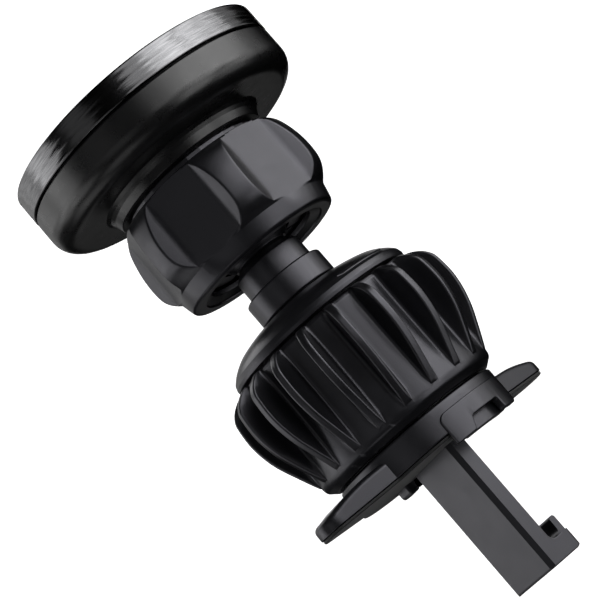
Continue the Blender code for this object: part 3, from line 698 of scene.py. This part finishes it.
def build_base():
    span, grip = Span("base_plate"), Span("grip_plate")
    radius, tip, low = 12.6, span.y[1], 0.07
    profile = rounded([
        (0, 9.3), (7.9, 9.3, 0.3), (7.9, 8.7), (7.1, 8.7), (7.1, 7.3), (7.9, 7.3), (7.9, 3.87), (radius, 3.87, 0.3),
        (radius, low, 0.2), (0, low),
    ], False)
    body = turned("base", profile, ring=False)
    wings = [wing("w", side, tip, low + 0.004, WING_TOP, (0.14, 0.8)) for side in (1, -1)]
    back = prism("b", sector((9.9, 11.5), (-12.0, 30.0)), (-1.75, 1.0), (0.2, 0))
    jaw_room = bent(prism("j", jaw_outline(0.5), (11.3, 13.6), (0, 0)))
    slot = block("s", (-5.25, -1.6, -2), (5.25, 1.85, 10.3))
    bore = turned("o", [(0, 10.3), (3.2, 10.3), (3.2, 4.6), (0, 4.6)], 64, ring=False)
    rear = block("r", (-9.5, -2.2, -2), (-6.4, 5.8, 1.9))
    steps = [("UNION", mesh) for mesh in [*wings, back]]
    steps += [("DIFFERENCE", mesh) for mesh in (jaw_room, slot.copy(), bore, rear.copy())]
    piece("base_plate_fine", "base_plate", joined("base", body, steps), PLASTIC, 32)

    low, high = grip.s
    plate = prism("g", grip_outline(12.3, tip, 0.15), (low, high), (0.2, 0.08))
    jaw_room = prism("j", sector((9.9, 12.6), JAW_ANGLES, 0.3), (-2.0, 1.0), (0, 0))
    steps = [("DIFFERENCE", mesh) for mesh in (jaw_room, slot, rear)]
    piece("grip_plate_fine", "grip_plate", joined("g", plate, steps), RUBBER, 32)


def build_jaws():
    piece("front_jaw_fine", "front_jaw", bent(prism("j", jaw_outline(), JAW_R, (0.12, 0.2))), PLASTIC, 35)
    span = Span("rear_jaw")
    (low_y, high_y), (bottom, top) = span.y, span.s
    outline = rounded([
        (low_y, top, 0.3), (low_y, bottom, 0.5), (-0.1, bottom, 0.3), (0.1, 0.15, 0.3), (3.5, 0.15, 0.3),
        (3.7, bottom, 0.3), (high_y, bottom, 0.6), (high_y, top, 0.3),
    ])
    mesh = along_x(prism("r", outline, span.x, (0.3, 0.3)))
    piece("rear_jaw_fine", "rear_jaw", mesh, PLASTIC)


# ---------------------------------------------------------------- hook


def edge_cut(corner, reach, low, high, chamfer):
    """A cutter for one upright edge of the arm, at (x, y): a flat chamfer, or a rounding of radius reach."""
    x, y = corner
    across, along = math.copysign(1, x), math.copysign(1, y)
    if chamfer:
        inner = [(x - across * reach, y), (x, y - along * reach)]
    else:
        centre = (x - across * reach, y - along * reach)
        inner = [
            (centre[0] + across * reach * math.sin(t), centre[1] + along * reach * math.cos(t))
            for t in np.linspace(0, math.pi / 2, 9)
        ]
    over = [(x + across, inner[-1][1]), (x + across, y + along), (inner[0][0], y + along)]
    return prism("e", [*inner, *over], (low, high), (0, 0))


def build_hook():
    span = Span("hook_arm")
    (back, tip), (foot, top), half = span.y, span.s, span.x[1]
    front, lip, floor, lip_half = 1.55, -15.6, foot + 2.85, 4.2
    outline = rounded([
        (back, top, 0.5), (back, foot, 0.35), (tip, foot, 0.9), (tip, lip, 0.45), (tip - 1.0, lip, 0.45),
        (tip - 1.0, floor, 0.8), (front, floor, 0.9), (front, top, 0.5),
    ], steps=6)
    arm = along_x(prism("a", outline, span.x, (0.2, 0.2), 4))
    cutters = [edge_cut((x, back), 0.62, foot - 1, top + 1, True) for x in span.x]
    cutters += [edge_cut((x, tip), 0.7, foot - 1, floor, False) for x in span.x]
    for side in (1, -1):
        ends = sorted((side * lip_half, side * (half + 1)))
        cutters.append(block("l", (ends[0], front + 1.2, floor - 0.02), (ends[1], tip + 1, lip + 1)))
    cutters.append(block("t", (-3.2, -2.3, 0.3), (3.2, 2.55, 6.0)))
    hole = turned("h", [(0, 4.4), (0.75, 4.4), (0.75, -4.4), (0, -4.4)], 32, ring=False)
    hole.transform(Matrix.Translation((0, 0, 2.6)) @ Matrix.Rotation(math.pi / 2, 4, "Y"))
    mesh = joined("arm", arm, [("DIFFERENCE", cutter) for cutter in (*cutters, hole)])
    piece("hook_arm_fine", "hook_arm", mesh, PLASTIC)
    build_screw()


def build_screw():
    """The hook's screw: a flattened tang below and a coarse thread above, one turn to each pitch."""
    span = Span("hook_screw")
    pitch = 360 * 8 / 1440
    low, high = 5.6, span.s[1]
    sides = 48
    turns = np.arange(sides) * 2 * math.pi / sides
    rows = []
    for s in np.linspace(high, low, 120):
        phase = (s / pitch - turns / (2 * math.pi)) % 1
        ridge = np.clip(1.6 * (1 - np.abs(2 * phase - 1)) - 0.3, 0, 1)
        fade = np.clip(min((high - s) / 0.6, (s - low) / 0.8), 0, 1)
        r = span.r - 0.12 - 0.55 + 0.55 * (ridge * fade + (1 - fade) * 0.2)
        rows.append(np.column_stack([r * np.cos(turns), r * np.sin(turns), np.full(sides, s)]))
    for r, s in ((span.r, 5.4), (span.r, span.s[0] + 0.2), (span.r - 0.2, span.s[0]), (0, span.s[0])):
        rows.append(np.column_stack([r * np.cos(turns), r * np.sin(turns), np.full(sides, s)]))
    rows.insert(0, np.column_stack([np.zeros((sides, 2)), np.full(sides, high)]))
    mesh = grid_mesh("sc", rows, ring=False)
    cuts = [("DIFFERENCE", block("f", (-5, y, -5), (5, y + 4, 5.2))) for y in (1.2, -5.2)]
    hole = turned("h", [(0, 4.4), (0.75, 4.4), (0.75, -4.4), (0, -4.4)], 32, ring=False)
    hole.transform(Matrix.Translation((0, 0, 2.6)) @ Matrix.Rotation(math.pi / 2, 4, "Y"))
    cuts.append(("DIFFERENCE", hole))
    piece("hook_screw_fine", "hook_screw", joined("sc", mesh, cuts), ZINC, 30)


build_head()
build_nut()
build_stem()
build_cap()
build_knob()
build_base()
build_jaws()
build_hook()

slots = {sub["node"]: sub.get("material_slot") for sub in frame["record"].get("subparts", []) if "node" in sub}
for name, node in frame["nodes"].items():
    if not node.hide_render:
        look = node.data.materials[0].name.split(".")[0] if node.data.materials else "zinc_steel"
        node.data.materials.clear()
        node.data.materials.append(CAD_LOOKS.get(look, ZINC))

# ---------------------------------------------------------------- studio


def add_light(name, direction, distance, size, power):
    low, high = CAD_BOX
    middle = (low + high) / 2
    a, e = map(math.radians, direction)
    back = Vector((math.sin(a) * math.cos(e), -math.cos(a) * math.cos(e), math.sin(e)))
    data = bpy.data.lights.new(name, "AREA")
    data.shape = "RECTANGLE"
    data.size, data.size_y = size
    data.energy = power
    lamp = bpy.data.objects.new(name, data)
    bpy.context.scene.collection.objects.link(lamp)
    lamp.location = middle + back * distance
    lamp.rotation_euler = (back).to_track_quat("Z", "Y").to_euler()
    lamp.visible_camera = False
    return lamp


SOFT_BOXES = [  # azimuth, elevation, watts
    (-70.5, -37.8, 0.725), (-82.9, -16.7, 0.623), (-62.8, -5, 0.609), (69.9, 52, 0.379),
    (-75.2, 13.7, 0.281), (102.4, 41.5, 0.202), (-90.6, -54.3, 0.323), (82.3, 27.5, 0.142),
    (-38, -47.5, 0.464), (-115.4, -9.4, 0.446), (-50.4, -24.4, 0.41), (-95.3, 2.1, 0.171),
    (74.7, -3.6, 0.083), (49.9, 36, 0.191), (-103, -29.2, 0.155), (122.5, 59.6, 0.216),
    (-58.1, -69.6, 0.11), (62.3, 15.2, 0.099), (-123, -43.4, 0.224), (-47.5, 74.3, 0.042),
    (-100, 62.6, 0.064), (67, -36, 0.147), (119.5, -30.8, 0.027), (42.2, 3.6, 0.376),
    (140, 20, 0.16), (185, 35, 0.14),
]
for number, (azimuth, elevation, watts) in enumerate(SOFT_BOXES, 1):
    add_light(f"soft_box_{number}", (azimuth, elevation), 0.6, (0.3, 0.3), 1.32 * watts)

world = bpy.data.worlds.new("studio")
bpy.context.scene.world = world
world.use_nodes = True
world.node_tree.nodes["Background"].inputs["Color"].default_value = (1, 1, 1, 1)
world.node_tree.nodes["Background"].inputs["Strength"].default_value = 1.0
world.cycles_visibility.glossy = False
world.cycles_visibility.diffuse = False

paper = Nodes("pale_floor")
paper.set(Base_Color=paper.mix(paper.noise(12, 2), (0.93, 0.93, 0.93), (0.96, 0.96, 0.96)), Roughness=0.9)
paper.set(Emission_Color=(1, 1, 1, 1), Emission_Strength=0.9)
size = 3.0
low_z = CAD_BOX[0].z - 0.03
floor_mesh = bpy.data.meshes.new("floor")
floor_mesh.from_pydata(
    [(-size, -size, low_z), (size, -size, low_z), (size, size, low_z), (-size, size, low_z)], [], [(0, 1, 2, 3)]
)
floor_mesh.materials.append(paper.material)
floor = bpy.data.objects.new("floor", floor_mesh)
bpy.context.scene.collection.objects.link(floor)
floor.visible_glossy = False
floor.visible_diffuse = False

camera_data = bpy.data.cameras.new("camera")
camera_data.lens = 132
camera_data.sensor_width = 36
camera_data.clip_start = 0.01
camera = bpy.data.objects.new("camera", camera_data)
bpy.context.scene.collection.objects.link(camera)
camera.location = (-0.225094, 0.017947, 0.175863)
camera.rotation_euler = [math.radians(x) for x in (-36.061, 41.2251, 120.8807)]
bpy.context.scene.camera = camera
bpy.context.scene.view_settings.view_transform = "Standard"
